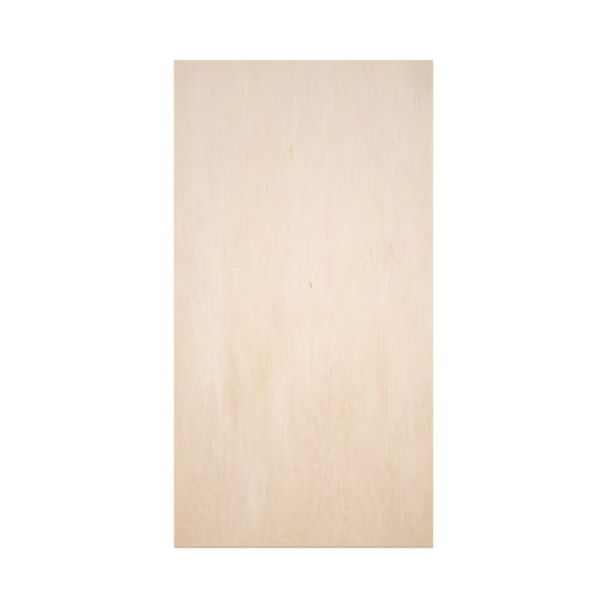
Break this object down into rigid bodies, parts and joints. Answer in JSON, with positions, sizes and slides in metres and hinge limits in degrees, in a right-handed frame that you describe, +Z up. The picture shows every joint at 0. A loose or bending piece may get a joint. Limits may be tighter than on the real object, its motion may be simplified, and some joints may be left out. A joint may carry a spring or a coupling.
{
  "type": "plywood sheet",
  "caption": "Full sheet of pale birch plywood, a flat rectangular panel with square sawn edges and lightly eased arrises, lying flat.",
  "frame": {"origin": "on the underside, at the middle of the sheet, so the sheet stands on z = 0", "axes": "+X across the sheet (width), +Y along the sheet and its face grain (length), +Z up through the thickness, out of the better face"},
  "size_m": [1.2192, 2.4384, 0.018],
  "materials": {
    "birch_plywood": "bare rotary-cut birch veneer, sanded smooth, matt, with straight faint grain along the sheet"
  },
  "bodies": {
    "root": {"plywood_sheet": "birch_plywood"}
  },
  "joints": []
}
